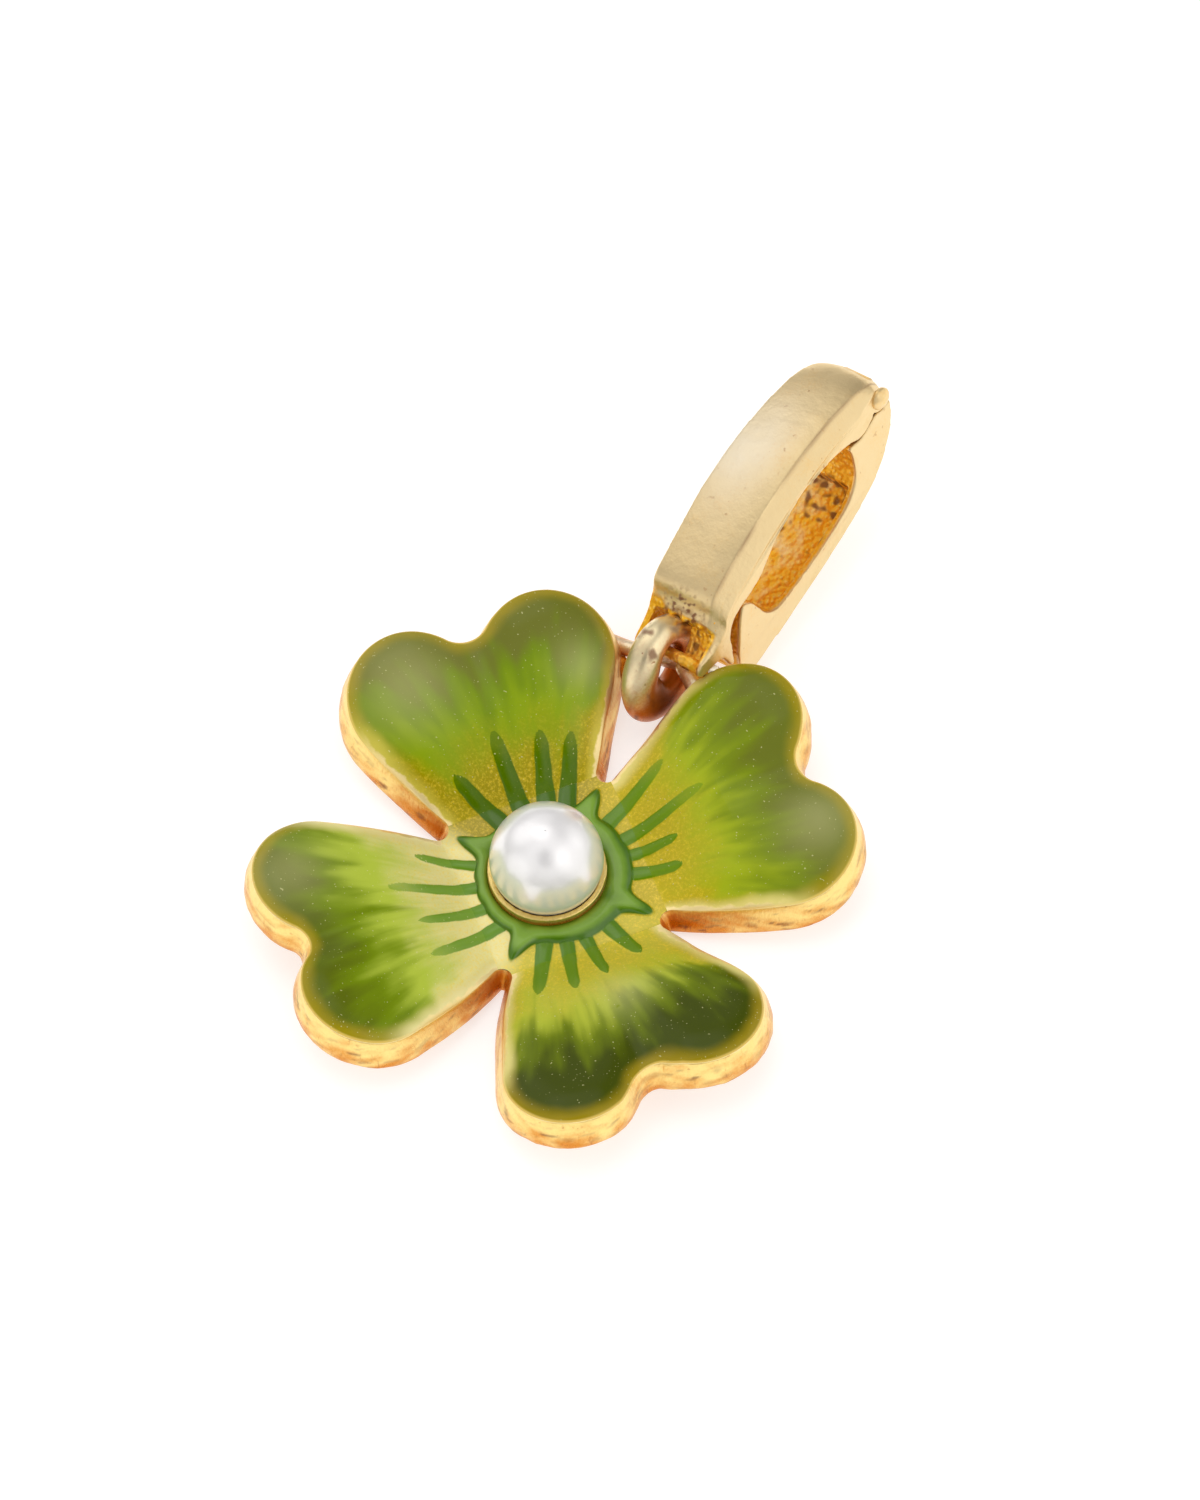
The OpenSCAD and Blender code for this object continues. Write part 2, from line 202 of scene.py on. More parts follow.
def softbox(name, way, size, power):
    """A soft square lamp, on a way given to the right of, above and before the frame."""
    light = bpy.data.lights.new(name, "AREA")
    light.size = size * MM
    light.energy = power
    made = bpy.data.objects.new(name, light)
    out = (way[0] * frame_right + way[1] * frame_up + way[2] * toward_camera).normalized()
    made.location = out * lamp_reach * MM
    made.rotation_euler = out.to_track_quat("Z", "Y").to_euler()
    made.visible_glossy = False
    bpy.context.scene.collection.objects.link(made)


softbox("lamp_above", (-0.1, 0.9, 0.8), 420, 0.58)
softbox("lamp_left", (-1.0, 0.1, 0.8), 380, 0.37)
softbox("lamp_front", (0.7, -0.6, 1.0), 380, 0.38)

# Clover body
# The flower is one casting in gold plated brass, with a drafted wall, a soft shoulder and a rim round each
# leaf. The cup of the pearl and the bar of the jump ring are soldered on, and the back is left as cast.
lobe_reach = 9.85
lobe_spread = 3.0
lobe_r = 2.95
notch_r = 1.2
side_r = 28
crotch_reach = 5.6
crotch_r = 0.5
# The way that each leaf points, its turn away from it, and over how many degrees at its sides this fades out
leaf_angles = (45, 135, 225, 315)
leaf_turns = (-0.8, -1.4, 1, -1.2)
turn_fade = 15
# How far the lobes of each leaf lie from their places, along the leaf and across it, right lobe first,
# and where along the leaf this starts and how soon it is full
lobe_shifts = (((0.0, 0.0), (-0.17, 0.32)), ((-0.33, -0.16), (-0.28, 0.05)), ((-0.1, 0.05), (-0.1, -0.15)),
               ((0.35, 0.12), (-0.5, 0.22)))
shift_from = 5.5
shift_run = 3.5
face_pitch = 15.6
back_pitch = 12.4
hub_t = 1.45
pocket_depth = 0.65
pad_d = 7.6
pad_h = 0.1


def angle_of(v):
    return math.degrees(math.atan2(v[1], v[0]))


def arc(at, r, start, end, steps):
    a = np.radians(np.linspace(start, end, steps + 1))
    return np.array(at) + r * np.stack([np.cos(a), np.sin(a)], 1)


lobe_at = np.array([lobe_reach, lobe_spread])
crotch_at = crotch_reach * np.array([math.cos(math.radians(45)), math.sin(math.radians(45))])
notch_at = np.array([lobe_reach + math.sqrt((lobe_r + notch_r) ** 2 - lobe_spread ** 2), 0])
reach_in = side_r - lobe_r
reach_out = side_r + crotch_r
span = np.linalg.norm(crotch_at - lobe_at)
along = (crotch_at - lobe_at) / span
foot = (reach_in ** 2 - reach_out ** 2 + span ** 2) / (2 * span)
side_at = lobe_at + foot * along + math.sqrt(reach_in ** 2 - foot ** 2) * np.array([-along[1], along[0]])
lobe_end = angle_of(notch_at - lobe_at)
lobe_start = angle_of(lobe_at - side_at)
crotch_end = angle_of(side_at - crotch_at) + 360
fold_x = crotch_at[0]


def leaf_outline(out, neck):
    """The outline of a leaf that points along x, moved out, from its neck round its two lobes and back."""
    half = np.vstack([arc(notch_at, notch_r - out, 180, lobe_end + 180, 14),
                      arc(lobe_at, lobe_r + out, lobe_end, lobe_start, 90)[1:],
                      arc(side_at, side_r + out, lobe_start, crotch_end - 180, 50)[1:],
                      arc(crotch_at, crotch_r - out, crotch_end, neck, 14)[1:]])
    return np.vstack([half[::-1] * (1, -1), half[1:]])


def rise(x, pitch):
    """Height that a leaf has gained at x, with a soft bend where it leaves the middle of the flower."""
    ahead = x - fold_x
    return (ahead + np.sqrt(ahead ** 2 + 0.16)) / 2 * math.tan(math.radians(pitch))


def placed(points, i):
    """Points of a leaf brought to its place in the flower, with its own uneven lobes and turn."""
    angle = np.degrees(np.arctan2(points[:, 1], points[:, 0]))
    outer = np.clip((points[:, :1] - shift_from) / shift_run, 0, 1)
    outer = outer ** 2 * (3 - 2 * outer)
    on_left = np.clip(0.5 + points[:, 1:2] / lobe_spread, 0, 1)
    right, left = np.array(lobe_shifts[i])
    x, y = (points[:, :2] + outer * (right + (left - right) * on_left)).T
    turn = np.radians(leaf_angles[i] + leaf_turns[i] * np.clip((45 - np.abs(angle)) / turn_fade, 0, 1))
    return np.column_stack([x * np.cos(turn) - y * np.sin(turn), x * np.sin(turn) + y * np.cos(turn),
                            points[:, 2]])


def curve(points, steps):
    """A smooth path through a few points."""
    p = np.asarray(points, float)
    path = []
    for i in range(len(p) - 1):
        a, b, c, d = p[max(i - 1, 0)], p[i], p[i + 1], p[min(i + 2, len(p) - 1)]
        for t in np.linspace(0, 1, steps, endpoint=False):
            path.append((2 * b + (c - a) * t + (2 * a - 5 * b + 4 * c - d) * t ** 2
                         + (3 * b - a - 3 * c + d) * t ** 3) / 2)
    return np.array(path + [p[-1]])


def rough(points, size, seed=0.0):
    """Soft noise from -1 to 1 at each point, with waves as long as size."""
    return np.array([noise.noise(Vector(p) / size + Vector((seed, seed, seed))) for p in points])


def skin(rings):
    """Faces between closed rings of points."""
    n = len(rings[0])
    faces = []
    for r in range(len(rings) - 1):
        for i in range(n):
            j = (i + 1) % n
            faces.append((r * n + i, r * n + j, (r + 1) * n + j, (r + 1) * n + i))
    return faces


def join(parts):
    """Puts lists of points and faces together into one."""
    points, faces, start = [], [], 0
    for some, skins in parts:
        points.append(np.asarray(some))
        faces += [tuple(v + start for v in face) for face in skins]
        start += len(some)
    return np.vstack(points), faces


def face_outwards(piece):
    shape = bmesh.new()
    shape.from_mesh(piece.data)
    bmesh.ops.recalc_face_normals(shape, faces=shape.faces)
    shape.to_mesh(piece.data)
    shape.free()


def turned(profile, at, steps=128):
    """A shape turned on a lathe: a profile of radius and height, stood at a point."""
    a = np.linspace(0, 2 * np.pi, steps, endpoint=False)
    rings = [np.column_stack([at[0] + r * np.cos(a), at[1] + r * np.sin(a), np.full(steps, at[2] + z)])
             for r, z in profile]
    return np.vstack(rings), skin(rings)


def rod(start, end, radii, steps=48):
    """A round rod from one point to another, with its radius at even steps on the way."""
    start, end = np.array(start), np.array(end)
    ahead = (end - start) / np.linalg.norm(end - start)
    side = np.cross(ahead, (0.1, 0.2, 0.97))
    side /= np.linalg.norm(side)
    over = np.cross(ahead, side)
    a = np.linspace(0, 2 * np.pi, steps, endpoint=False)[:, None]
    rings = [start + t * (end - start) + r * (np.cos(a) * side + np.sin(a) * over)
             for t, r in zip(np.linspace(0, 1, len(radii)), radii)]
    last = len(radii) * steps
    ends = [tuple(range(steps)), tuple(range(last - steps, last))]
    return np.vstack(rings), skin(rings) + ends


# How far a point of the wall stands out, and its share of the way from the back to the rim
wall_profile = curve([(0.26, 0.0), (0.36, 0.03), (0.4, 0.1), (0.37, 0.3), (0.28, 0.5), (0.18, 0.68),
                      (0.1, 0.83), (0.04, 0.92), (-0.01, 0.96), (-0.06, 0.97), (-0.12, 0.965),
                      (-0.2, 0.93), (-0.25, 0.75)], 3)


def leaf_ring(outline, heights):
    """A ring round the flower, made of one leaf's outline with its heights."""
    return np.vstack([placed(np.column_stack([outline, heights]), i) for i in range(4)])


back_edge = leaf_outline(wall_profile[0][0], 225)
pocket_edge = leaf_outline(wall_profile[-1][0], 225)
pocket_floor = hub_t - pocket_depth
rings, shares = [], []
for share in np.linspace(0.02, 0.98, 14):
    rings.append(leaf_ring(back_edge * share, pad_h + rise(back_edge[:, 0] * share, back_pitch)))
    shares.append(0.0)
for out, share in wall_profile:
    outline = leaf_outline(out, 225)
    low = pad_h + rise(outline[:, 0], back_pitch)
    high = hub_t + rise(outline[:, 0], face_pitch)
    rings.append(leaf_ring(outline, low + share * (high - low)))
    shares.append(share)
for share in np.linspace(0.96, 0.02, 6):
    rings.append(leaf_ring(pocket_edge * share, pocket_floor + rise(pocket_edge[:, 0] * share, face_pitch)))
    shares.append(1.0)
casting = np.vstack(rings)
on_wall = np.repeat(shares, len(rings[0]))
under_rim = on_wall < 0.9
from_middle = np.linalg.norm(casting[:, :2], axis=1)
near_crotch = np.clip((8.5 - from_middle) / 3, 0, 1)
# Low on the wall and in the crotches the gold is painted deep, as painted shade with patina; the rest is pale
casting_hollow = np.clip((0.85 - on_wall) / 0.7, 0, 1) * (0.6 + 0.4 * near_crotch)
casting_hollow += 0.4 * near_crotch * (on_wall < 0.97)
casting_hollow += rough(casting * (1, 1, 2.5), 0.8, 5.0) * 0.45 * under_rim
casting_hollow = np.clip(casting_hollow, 0, 1)
scratched = np.clip(rough(casting * (1, 1, 4), 0.7, 2.0) * 4 - 0.9, 0, 1)
scratched *= np.clip((0.9 - on_wall) / 0.3, 0, 1)
scratched *= 0.35 + 0.65 * np.maximum(near_crotch, np.clip(rough(casting, 1.5, 8.0) * 3, 0, 1))
dent = np.abs(rough(casting, 1.1)) * 0.06 + np.abs(rough(casting, 0.35, 3.0)) * 0.025 * under_rim
casting = casting - casting * (1, 1, 0) / np.maximum(from_middle, 1)[:, None] * dent[:, None]

cup_base = 0.4
pearl_d = 5
pearl_gap = 0.05
pearl_z = cup_base + pearl_gap + pearl_d / 2
lip_drop = 0.9
cup_at = (-0.28, -0.1, 0)
cup_z = pearl_z - lip_drop
cup_lip = 0.22
cup_r = math.sqrt((pearl_d / 2 + pearl_gap) ** 2 - lip_drop ** 2) + cup_lip
cup_profile = curve([(cup_r - 0.02, 0.9), (cup_r, 1.6), (cup_r, cup_z - 0.08), (cup_r - 0.02, cup_z - 0.01),
                     (cup_r - 0.08, cup_z + 0.01), (cup_r - 0.2, cup_z), (cup_r - 0.25, cup_z - 0.05),
                     (cup_r - 0.27, cup_z - 0.2), (cup_r - 0.5, 1.2)], 5)
cup, cup_skin = turned(cup_profile, cup_at, 260)
cup = cup + rough(cup, 0.16, 4.0)[:, None] * (0.012, 0.012, 0.02)
pad_r = pad_d / 2
pad = turned([(0.01, 0.0), (2.0, 0.0), (pad_r - 0.12, 0.0), (pad_r - 0.03, 0.02), (pad_r, 0.08),
              (pad_r + 0.05, 0.2)], (0, 0, 0))

bar_at = np.array([0.45, 11.41, 2.34])
bar_turn = math.radians(2)
bar_rise = math.radians(15)
bar_d = 0.74
bar_sink = 0.1
bar_way = np.array([math.cos(bar_turn) * math.cos(bar_rise), -math.sin(bar_turn) * math.cos(bar_rise),
                    math.sin(bar_rise)])
# The bar runs between the lobes of two leaves and ends a little inside their walls
bar_ends = {}
for i, side in ((1, -1), (0, 1)):
    middle = placed(np.array([[lobe_at[0], side * lobe_at[1], 0.0]]), i)[0] - bar_at
    ahead = middle[0] * math.cos(bar_turn) - middle[1] * math.sin(bar_turn)
    aside = middle[1] * math.cos(bar_turn) + middle[0] * math.sin(bar_turn)
    reach = ahead - side * (math.sqrt(lobe_r ** 2 - aside ** 2) - bar_sink)
    bar_ends[i] = bar_at + reach / math.cos(bar_rise) * bar_way
bar = rod(bar_ends[1], bar_ends[0],
          [bar_d / 2 * w for w in (1.25, 1.2, 1.06, 1, 1, 1, 1, 1, 1, 1, 1, 0.97, 0.9, 0.7)])
solder = rod((-1.7, 11.05, 1.7), (-1.3, 9.8, 1.5), [0.1, 0.3, 0.38, 0.42, 0.42, 0.38, 0.3, 0.2, 0.08])
solder = solder[0] + rough(solder[0], 0.3, 6.0)[:, None] * 0.08, solder[1]
stub = rod(bar_at + 0.6 * bar_way, (2.3, 10.5, 2.4), [0.36, 0.41, 0.45, 0.48, 0.5, 0.52])
stub = stub[0] + rough(stub[0], 0.6, 6.0)[:, None] * 0.04, stub[1]


def gold(name, pale, deep, roughness, pits=0.5, streak=(1, 1, 1), streak_depth=0.0, cast=0.0):
    """Plated gold: pale where polished and where highlights are painted, deep in hollows as painted shade
    with patina, with pits, scratches and dark stains.
    """
    material, shade = start_material(name)
    place = millimetres(shade)
    hollow = attribute(shade, "hollow")
    marks_and_shade = attribute(shade, "marks_and_shade")
    as_cast = hollow * cast
    cloud = grain(shade, place, 1.6, detail=3.0)
    satin = grain(shade, place, 0.8, detail=3.0, rough=0.6)
    fine = grain(shade, place, 0.12, detail=4.0, rough=0.65)
    brushed = grain(shade, place, 0.16, detail=3.0, rough=0.7, stretch=streak)
    scratch = between(shade, 0.6, 0.72, grain(shade, place, 0.2, detail=3.0, rough=0.6, stretch=streak))
    pit = between(shade, 0.68, 0.76, grain(shade, place, 0.28, detail=1.0))
    pit = pit * between(shade, 0.45, 0.62, cloud)
    lumps = shade.node("ShaderNodeTexVoronoi", {"feature": "SMOOTH_F1"},
                       {"Vector": place, "Scale": 4.2, "Smoothness": 0.6})
    # Near-white gold: polish on the bar and the stub, and a painted highlight high on the bail face
    colour = mixed(shade, pale, paint(253, 244, 226), attribute(shade, "polish_and_highlight") * (0.4 + cloud))
    # Deep gold in the hollows is painted shade over some patina
    depth = hollow + (cloud - 0.42) * 0.7 + (fine - 0.5) * 0.5
    colour = mixed(shade, colour, deep, between(shade, 0.0, 1.0, depth))
    soil = (pit * pits + scratch * streak_depth * (hollow * 0.8 + 0.2)) * (1 - as_cast)
    colour = mixed(shade, colour, paint(160, 78, 12), shade.maths("MINIMUM", soil, 0.85))
    # Painted highlights: bright yellow on the tops of the cast beads inside the bail
    bead_glints = (1 - between(shade, 0.1, 0.45, lumps)) * as_cast * 0.75
    colour = mixed(shade, colour, paint(255, 216, 112), bead_glints)
    # Dark marks: scratches, stains and specks, and in the jump ring's hole a painted shadow
    colour = mixed(shade, colour, paint(104, 46, 4), marks_and_shade)
    relief = (fine * 0.25 + brushed * streak_depth * 2.5 + satin * cast * 2.0
              - pit * 0.6 * pits - marks_and_shade * 0.3 - lumps * as_cast * 3.0)
    bump = shade.node("ShaderNodeBump", {}, {"Strength": 0.5, "Distance": 0.05 * MM, "Height": relief})
    finish_material(shade, {"Base Color": colour, "Metallic": (1 - hollow * 0.45) * (1 - marks_and_shade * 0.8),
                            "Roughness": roughness + fine * 0.12 + satin * 0.16 + marks_and_shade * 0.2 - hollow * 0.08,
                            "Normal": bump})
    return material


casting_gold = gold("gold_casting", paint(252, 222, 140), paint(218, 134, 22), 0.2, pits=0.35,
                    streak=(1, 1, 0.14), streak_depth=0.6)
points, faces = join([(casting, skin(rings)), (cup, cup_skin), pad, bar, solder, stub])
# Deeper gold is painted low in the cup, under the bar, low on the stub and over the solder, as painted shade
hollow = np.concatenate([casting_hollow, np.clip((cup_z - 0.05 - cup[:, 2]) * 3, 0, 0.8),
                         np.zeros(len(pad[0])), np.clip((bar_at[2] - bar[0][:, 2]) * 1.5, 0.0, 0.7),
                         np.full(len(solder[0]), 1.0), np.clip((2.3 - stub[0][:, 2]) * 2, 0, 0.8)])
marks_and_shade = np.concatenate([scratched * 0.7, np.zeros(len(points) - len(casting))])
polish_and_highlight = np.concatenate([np.zeros(len(casting) + len(cup) + len(pad[0])), np.full(len(bar[0]), 0.9),
                         np.zeros(len(solder[0])), np.full(len(stub[0]), 0.6)])
clover_body = make_object("clover_body_cast", points, faces, casting_gold,
                          {"hollow": hollow, "marks_and_shade": marks_and_shade, "polish_and_highlight": polish_and_highlight})
face_outwards(clover_body)
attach(clover_body, "root")
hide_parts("clover_body")

# Leaf enamel
# Each leaf holds a pillow of clear cold enamel, tinted dark at its lobes and yellow green at its middle.
# Thin strokes of thicker green paint run out from the middle of the flower and stand a little proud.
dome_h = 0.6
dome_run = 2.2
dome_grow = 3.4
fold_depth = 0.45
fold_w = 1.0
side_depth = 0.35
dome_middle = np.array([8.0, 0.0])
leaf_edge = leaf_outline(0, 270)
neck = np.linspace(leaf_edge[-1], leaf_edge[0], 110)[1:-1]

# Each stroke: the angles of its foot and of its tip off the middle line of the leaf, its reach and its width
strokes = (
    ((27, 27, 7.0, 0.7), (9, 8, 7.5, 0.66), (-5, -4, 5.6, 0.6), (-21, -18, 5.6, 0.66)),
    ((20, 24, 6.3, 0.84), (4, 3, 7.1, 0.86), (-14, -14, 6.7, 0.86), (-30, -26, 6.7, 0.8)),
    ((-31, -29, 6.1, 0.5), (-12, -12, 7.4, 0.56), (8, 4, 6.5, 0.56), (28, 19, 7.0, 0.62)),
    ((-27, -26, 6.3, 0.76), (-10, -11, 6.2, 0.66), (4, 4, 5.8, 0.62), (24, 23, 5.6, 0.76)))
stroke_foot = 2.7


def stroke_mask(points):
    """How deep in a brush stroke each point of the flower is, from 0 at its edge to 1 at its middle."""
    mask = np.zeros(len(points))
    wave = rough(np.asarray(points) * (1, 1, 0), 0.45, 5.0)
    for i in range(4):
        for foot_angle, tip_angle, reach, width in strokes[i]:
            ends = np.array([[r * math.cos(math.radians(t)), r * math.sin(math.radians(t)), 0.0]
                             for r, t in ((stroke_foot, foot_angle), (reach, tip_angle))])
            a, b = placed(ends, i)[:, :2]
            length = np.linalg.norm(b - a)
            ahead = (b - a) / length
            off = points[:, :2] - a
            t = off @ ahead / length
            aside = np.abs(off[:, 0] * ahead[1] - off[:, 1] * ahead[0])
            half = width / 2 * (1.2 - 0.45 * t) * np.sqrt(np.clip((1 - t) / 0.12, 0, 1)) + wave * 0.03
            inside = (t > 0) & (t < 1) & (half > 0.01)
            mask = np.maximum(mask, np.where(inside, 1 - (aside / np.maximum(half, 0.01)) ** 2, 0))
    return np.clip(mask, 0, 1)


def enamel_height(x, y, edge):
    """Height of the enamel in a leaf, from the place along and across it and the distance to its rim."""
    swell = (1 - (1 - np.clip(edge / dome_run, 0, 1)) ** 2.4) ** 0.72
    t = np.clip((x - fold_x) / dome_grow, 0, 1)
    crease = fold_depth * np.exp(-(y / fold_w) ** 2) * np.clip((x - dome_middle[0]) / 3, 0, 1)
    return hub_t - 0.03 + rise(x, face_pitch) + swell * (dome_h * t * t * (3 - 2 * t) - crease)


def distances(points, path):
    """How far each point is from the nearest point of a path, both given by two numbers."""
    tree = kdtree.KDTree(len(path))
    for i, p in enumerate(path):
        tree.insert((*p, 0), i)
    tree.balance()
    return np.array([tree.find((*p, 0))[2] for p in points])


def glazed(top, around):
    """The top of an enamel, given ring by ring from its middle, with its short side down into the metal."""
    rings = [top[k:k + around] for k in range(0, len(top), around)]
    sides = [rings[-1], rings[-1] - (0, 0, side_depth)]
    return join([(top, skin(rings)), (np.vstack(sides), skin(sides))])


boundary = np.vstack([leaf_edge, neck])
leaf_shares = 1 - (1 - np.linspace(0.0, 1.0, 65)[1:]) ** 1.35
leaf_flat = np.vstack([dome_middle + (boundary - dome_middle) * s for s in leaf_shares])
leaf_flat[:, 0] = np.maximum(leaf_flat[:, 0], fold_x)
edge = distances(leaf_flat, leaf_edge)


def enamel(name, dark, mid, bright, inner, brush, border):
    """Clear enamel: gold shows through near the middle, feathered green beyond, golden along the rim."""
    material, shade = start_material(name)
    place = millimetres(shade)
    leaf = attribute(shade, "leaf", out=1)
    x, y, turn = [shade.node("ShaderNodeSeparateXYZ", {}, {0: leaf}, out=k) for k in range(3)]
    reach = shade.maths("SQRT", x * x + y * y)
    angle = shade.maths("ARCTAN2", y, x) * 10
    fan = shade.node("ShaderNodeCombineXYZ", {}, {0: angle, 1: reach, 2: turn * 7.3})
    broad = grain(shade, fan, 0.8, detail=1.0, stretch=(1, 0.26, 1))
    hair = grain(shade, fan, 0.3, detail=1.0, stretch=(1, 0.16, 1))
    cloud = grain(shade, place, 2.2, detail=2.0)
    rim = attribute(shade, "rim")
    # The greens, feathered along the leaf and darkest at its lobes
    past = attribute(shade, "past") + (broad - 0.5) * 4.6 + (hair - 0.5) * 0.9 + (cloud - 0.5) * 2.0
    green = mixed(shade, bright, mid, between(shade, -3.0, -0.6, past))
    green = mixed(shade, green, dark, between(shade, -1.2, 1.4, past))
    # Gold shows through near the middle of the flower and along the sides of the leaf
    at_side = 1 - between(shade, 7.0, 9.5, x)
    side = (1 - between(shade, 0.15, 1.5, rim + (cloud - 0.5) * 1.2)) * at_side
    bare = 1 - between(shade, 4.6, 8.0, reach + (cloud - 0.5) * 2.8 + (hair - 0.5) * 1.2 - side * 2.4)
    leaf_grain = grain(shade, place, 0.13, detail=4.0, rough=0.75)
    foil = mixed(shade, inner, paint(244, 208, 60), between(shade, 0.45, 0.7, leaf_grain) * 0.6)
    tint = mixed(shade, green, foil, bare * 0.92)
    # The enamel thins to amber at the rim, and gold lies bare where it stops short
    edge_tint = 1 - between(shade, 0.05, 0.8, rim + (cloud - 0.5) * 0.6)
    tint = mixed(shade, tint, paint(174, 148, 26), edge_tint * 0.6)
    tint = mixed(shade, tint, paint(232, 196, 104), (1 - between(shade, 0.02, 0.12, rim)) * 0.7)
    pale_side = (1 - between(shade, 0.1, 0.7, rim + (cloud - 0.5) * 0.7)) * (1 - between(shade, 8.5, 10.5, x))
    tint = mixed(shade, tint, border, pale_side * 0.7)
    rim_noise = (grain(shade, place, 0.5, detail=3.0) - 0.5) * 0.5
    gilt = (1 - between(shade, 0.08, 0.22, rim + rim_noise)) * at_side
    tint = mixed(shade, tint, paint(250, 226, 160), gilt)
    # A faint milky painted highlight on the enamel where each leaf catches the light
    tint = mixed(shade, tint, paint(196, 192, 136), attribute(shade, "haze_highlight") * 0.3)
    # The brush strokes, and specks of dust set in the enamel
    stroke = between(shade, 0.02, 0.3, attribute(shade, "stroke"))
    tint = mixed(shade, tint, brush, stroke * (0.95 - between(shade, 5.4, 7.4, reach) * 0.4))
    speck = between(shade, 0.79, 0.83, grain(shade, place, 0.09, detail=0.0))
    tint = mixed(shade, tint, paint(214, 210, 150), speck * 0.5)
    ripple = grain(shade, place, 0.9, detail=1.0) * 0.6 + speck * 0.15
    ripple = ripple + leaf_grain * (bare * 0.5 + 0.03) * (1 - stroke)
    bump = shade.node("ShaderNodeBump", {}, {"Strength": 0.35, "Distance": 0.08 * MM, "Height": ripple})
    metal = shade.maths("MAXIMUM", bare * 0.3 * (1 - stroke), gilt * 0.8)
    finish_material(shade, {"Base Color": tint, "Metallic": metal, "Roughness": 0.3 + leaf_grain * 0.15,
                            "Specular IOR Level": 0.0, "Coat Weight": 0.65, "Coat Roughness": 0.07,
                            "Coat IOR": 1.36, "Normal": bump})
    return material


# Where each leaf turns dark, as a distance along it, and its colours: dark, middle and bright green from the
# lobes inwards, the gold seen through it, its strokes, and its pale sides
# The four leaves differ partly in their own paint and partly by painted light and shade, each lit its own way
leaf_looks = (
    (9.7, paint(98, 106, 22), paint(112, 130, 4), paint(150, 164, 16),
     paint(184, 164, 22), paint(92, 130, 10), paint(236, 222, 140)),
    (9.9, paint(102, 106, 34), paint(106, 130, 0), paint(126, 148, 0),
     paint(158, 140, 0), paint(66, 100, 0), paint(204, 190, 76)),
    (10.3, paint(84, 96, 6), paint(106, 128, 2), paint(166, 182, 60),
     paint(232, 220, 150), paint(98, 138, 34), paint(240, 230, 170)),
    (9.3, paint(60, 70, 0), paint(100, 116, 0), paint(168, 178, 50),
     paint(194, 180, 50), paint(84, 122, 16), paint(238, 226, 150)))
# Where the enamel of each leaf has a painted highlight, a faint milky haze, along and across it, and how wide
haze_highlights = (((11.2, -2.8, 1.6),), ((10.2, 3.2, 2.0), (8.8, -4.2, 1.2)), ((11.0, -3.4, 1.7),),
          ((7.4, 0.6, 1.2),))
x, y = leaf_flat.T
stroke_end = np.clip((6.6 - np.hypot(x, y)) / 1.2, 0, 1)
for i in range(4):
    dark_from, *colours = leaf_looks[i]
    haze_highlight = sum(np.exp(-((x - at_x) ** 2 + (y - at_y) ** 2) / r ** 2) for at_x, at_y, r in haze_highlights[i])
    mask = stroke_mask(placed(np.column_stack([x, y, x * 0]), i))
    height = enamel_height(x, y, edge) + 0.1 * mask ** 0.8 * stroke_end
    top = placed(np.column_stack([x, y, height]), i)
    points, faces = glazed(top, len(boundary))
    centre = len(points)
    points = np.vstack([points, placed(np.array([[*dome_middle, enamel_height(*dome_middle, 4.0)]]), i)])
    faces += [(centre, k, (k + 1) % len(boundary)) for k in range(len(boundary))]
    extra = len(points) - len(top)
    values = {"leaf": np.vstack([np.column_stack([x, y, x * 0 + i]), np.tile([*dome_middle, i], (extra, 1))]),
              "rim": np.concatenate([edge, np.zeros(extra - 1), [4.0]]),
              "past": np.concatenate([x, np.full(extra, dome_middle[0])]) - dark_from,
              "haze_highlight": np.concatenate([haze_highlight, np.zeros(extra)]),
              "stroke": np.concatenate([mask, np.zeros(extra)])}
    name = f"leaf_enamel_{i + 1}"
    leaf = make_object(name + "_glaze", points, faces, enamel(name, *colours), values)
    face_outwards(leaf)
    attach(leaf, "root")
    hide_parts(name)

# Centre enamel
# A pool of the same green paint lies round the cup in a thick ring, with points into the gaps of the leaves.
# Outside the ring the clear enamel is thin, and the gold shows through.
pool_h = 0.3
corner = arc(crotch_at, crotch_r, 225, 270, 14)
neck_line = np.linspace(corner[-1], corner[-1] * (1, -1), 110)[1:-1]
side = np.vstack([corner * (1, -1), neck_line[::-1], corner[::-1]])
side = np.column_stack([side, side[:, 0] * 0])
boundary = np.vstack([placed(side, i)[:, :2] for i in range(4)])
inner = cup_r - 0.02
angle = np.arctan2(boundary[:, 1] - cup_at[1], boundary[:, 0] - cup_at[0])
start = np.array(cup_at[:2]) + inner * np.stack([np.cos(angle), np.sin(angle)], 1)
flat = np.vstack([start + (boundary - start) * s for s in np.linspace(0, 1, 60)])
reach = np.linalg.norm(flat - cup_at[:2], axis=1) - cup_r
angle = np.degrees(np.arctan2(flat[:, 1], flat[:, 0])) % 360
to_crotch = np.abs((angle + 45) % 90 - 45)
leaf_x = np.linalg.norm(flat, axis=1) * np.cos(np.radians((angle % 90) - 45))
flat = np.column_stack([flat, flat[:, 0] * 0])
mask = stroke_mask(flat)
# The ring of paint: how wide it is, and how high it stands from 0 at its foot to 1 on its crest
width = (0.9 + 0.3 * np.cos(np.radians(angle - 20)) + 1.25 * np.exp(-(to_crotch / 6) ** 2)
         + rough(flat, 0.8, 9.0) * 0.14)
ring_mask = np.clip(1 - ((reach - width * 0.45) / (width * 0.55)) ** 2, 0, 1) * (reach < width)
ring_mask = np.maximum(ring_mask, np.where(reach < width * 0.45, 0.35 + 0.65 * ring_mask, 0))
pool = pool_h * ring_mask ** 0.8 * np.clip((4.6 - reach) / 3, 0.4, 1)
flat[:, 2] = hub_t - 0.03 + rise(leaf_x, face_pitch) + np.maximum(0.1 * mask ** 0.8, pool)
points, faces = glazed(flat, len(boundary))

